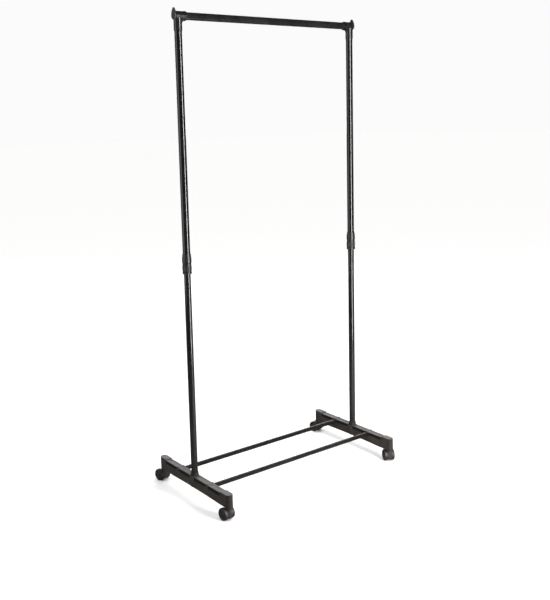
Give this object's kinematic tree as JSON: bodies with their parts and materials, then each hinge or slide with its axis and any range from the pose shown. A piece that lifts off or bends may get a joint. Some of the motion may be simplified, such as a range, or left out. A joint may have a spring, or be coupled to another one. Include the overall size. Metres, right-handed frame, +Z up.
{
  "type": "rolling clothes rack",
  "caption": "Rolling clothes rack: telescopic uprights with twist locks carry a hanging rail between end stops, on moulded feet joined by thin bottom rails, with swivelling twin-wheel casters.",
  "frame": {"origin": "on the floor, midway between the two uprights", "axes": "+X along the hanging rail, -Y to the front, +Z up; the casters trail towards +Y"},
  "size_m": [0.7925, 0.4639, 1.6505],
  "materials": {
    "tube_enamel": "semi-gloss black powder coat on steel tube",
    "foot_plastic": "moulded black plastic with a fine texture",
    "fitting_plastic": "moulded black plastic, satin",
    "lock_plastic": "moulded black plastic, satin",
    "inner_plastic": "moulded black plastic",
    "caster_grey": "moulded dark grey plastic",
    "wheel_plastic": "moulded black plastic, worn satin on the tread",
    "zinc_steel": "zinc plated"
  },
  "bodies": {
    "base": {"left_foot": "foot_plastic", "left_lower_tube": "tube_enamel", "left_tube_insert": "zinc_steel", "left_guide_bush": "inner_plastic", "right_foot": "foot_plastic", "right_lower_tube": "tube_enamel", "right_tube_insert": "zinc_steel", "right_guide_bush": "inner_plastic", "front_bottom_rail": "tube_enamel", "rear_bottom_rail": "tube_enamel", "foot_screws": "zinc_steel", "foot_washers": "zinc_steel", "front_left_caster_stem": "zinc_steel", "front_left_caster_grip_ring": "zinc_steel", "front_right_caster_stem": "zinc_steel", "front_right_caster_grip_ring": "zinc_steel", "rear_left_caster_stem": "zinc_steel", "rear_left_caster_grip_ring": "zinc_steel", "rear_right_caster_stem": "zinc_steel", "rear_right_caster_grip_ring": "zinc_steel"},
    "hanging_frame": {"left_upper_tube": "tube_enamel", "left_collet": "lock_plastic", "left_tee": "fitting_plastic", "left_end_stop": "fitting_plastic", "right_upper_tube": "tube_enamel", "right_collet": "lock_plastic", "right_tee": "fitting_plastic", "right_end_stop": "fitting_plastic", "top_rail": "tube_enamel"},
    "left_lock": {"left_lock_sleeve": "lock_plastic"},
    "right_lock": {"right_lock_sleeve": "lock_plastic"},
    "front_left_swivel": {"front_left_caster_housing": "caster_grey", "front_left_caster_axle": "zinc_steel"},
    "front_left_left_wheel": {"front_left_caster_left_wheel": "wheel_plastic"},
    "front_left_right_wheel": {"front_left_caster_right_wheel": "wheel_plastic"},
    "front_right_swivel": {"front_right_caster_housing": "caster_grey", "front_right_caster_axle": "zinc_steel"},
    "front_right_left_wheel": {"front_right_caster_left_wheel": "wheel_plastic"},
    "front_right_right_wheel": {"front_right_caster_right_wheel": "wheel_plastic"},
    "rear_left_swivel": {"rear_left_caster_housing": "caster_grey", "rear_left_caster_axle": "zinc_steel"},
    "rear_left_left_wheel": {"rear_left_caster_left_wheel": "wheel_plastic"},
    "rear_left_right_wheel": {"rear_left_caster_right_wheel": "wheel_plastic"},
    "rear_right_swivel": {"rear_right_caster_housing": "caster_grey", "rear_right_caster_axle": "zinc_steel"},
    "rear_right_left_wheel": {"rear_right_caster_left_wheel": "wheel_plastic"},
    "rear_right_right_wheel": {"rear_right_caster_right_wheel": "wheel_plastic"}
  },
  "joints": [
    {"name": "height_slide", "type": "slide", "parent": "base", "child": "hanging_frame", "axis": [0, 0, 1], "range_m": [-0.6, 0]},
    {"name": "left_lock_twist", "type": "hinge", "parent": "hanging_frame", "child": "left_lock", "pos_m": [-0.3675, 0, 0.809], "axis": [0, 0, 1], "range_deg": [0, 90]},
    {"name": "right_lock_twist", "type": "hinge", "parent": "hanging_frame", "child": "right_lock", "pos_m": [0.3675, 0, 0.809], "axis": [0, 0, 1], "range_deg": [0, 90]},
    {"name": "front_left_swivel_turn", "type": "hinge", "parent": "base", "child": "front_left_swivel", "pos_m": [-0.3675, -0.206, 0.0415], "axis": [0, 0, 1], "continuous": true},
    {"name": "front_left_left_wheel_roll", "type": "hinge", "parent": "front_left_swivel", "child": "front_left_left_wheel", "pos_m": [-0.36801, -0.19151, 0.021], "axis": [0.9994, 0.0349, 0], "continuous": true},
    {"name": "front_left_right_wheel_roll", "type": "hinge", "parent": "front_left_swivel", "child": "front_left_right_wheel", "pos_m": [-0.36801, -0.19151, 0.021], "axis": [0.9994, 0.0349, 0], "continuous": true},
    {"name": "front_right_swivel_turn", "type": "hinge", "parent": "base", "child": "front_right_swivel", "pos_m": [0.3675, -0.206, 0.0415], "axis": [0, 0, 1], "continuous": true},
    {"name": "front_right_left_wheel_roll", "type": "hinge", "parent": "front_right_swivel", "child": "front_right_left_wheel", "pos_m": [0.37431, -0.1932, 0.021], "axis": [0.8829, -0.4695, 0], "continuous": true},
    {"name": "front_right_right_wheel_roll", "type": "hinge", "parent": "front_right_swivel", "child": "front_right_right_wheel", "pos_m": [0.37431, -0.1932, 0.021], "axis": [0.8829, -0.4695, 0], "continuous": true},
    {"name": "rear_left_swivel_turn", "type": "hinge", "parent": "base", "child": "rear_left_swivel", "pos_m": [-0.3675, 0.206, 0.0415], "axis": [0, 0, 1], "continuous": true},
    {"name": "rear_left_left_wheel_roll", "type": "hinge", "parent": "rear_left_swivel", "child": "rear_left_left_wheel", "pos_m": [-0.36952, 0.22036, 0.021], "axis": [0.9903, 0.1392, 0], "continuous": true},
    {"name": "rear_left_right_wheel_roll", "type": "hinge", "parent": "rear_left_swivel", "child": "rear_left_right_wheel", "pos_m": [-0.36952, 0.22036, 0.021], "axis": [0.9903, 0.1392, 0], "continuous": true},
    {"name": "rear_right_swivel_turn", "type": "hinge", "parent": "base", "child": "rear_right_swivel", "pos_m": [0.3675, 0.206, 0.0415], "axis": [0, 0, 1], "continuous": true},
    {"name": "rear_right_left_wheel_roll", "type": "hinge", "parent": "rear_right_swivel", "child": "rear_right_left_wheel", "pos_m": [0.36498, 0.22028, 0.021], "axis": [0.9848, 0.1736, 0], "continuous": true},
    {"name": "rear_right_right_wheel_roll", "type": "hinge", "parent": "rear_right_swivel", "child": "rear_right_right_wheel", "pos_m": [0.36498, 0.22028, 0.021], "axis": [0.9848, 0.1736, 0], "continuous": true}
  ]
}
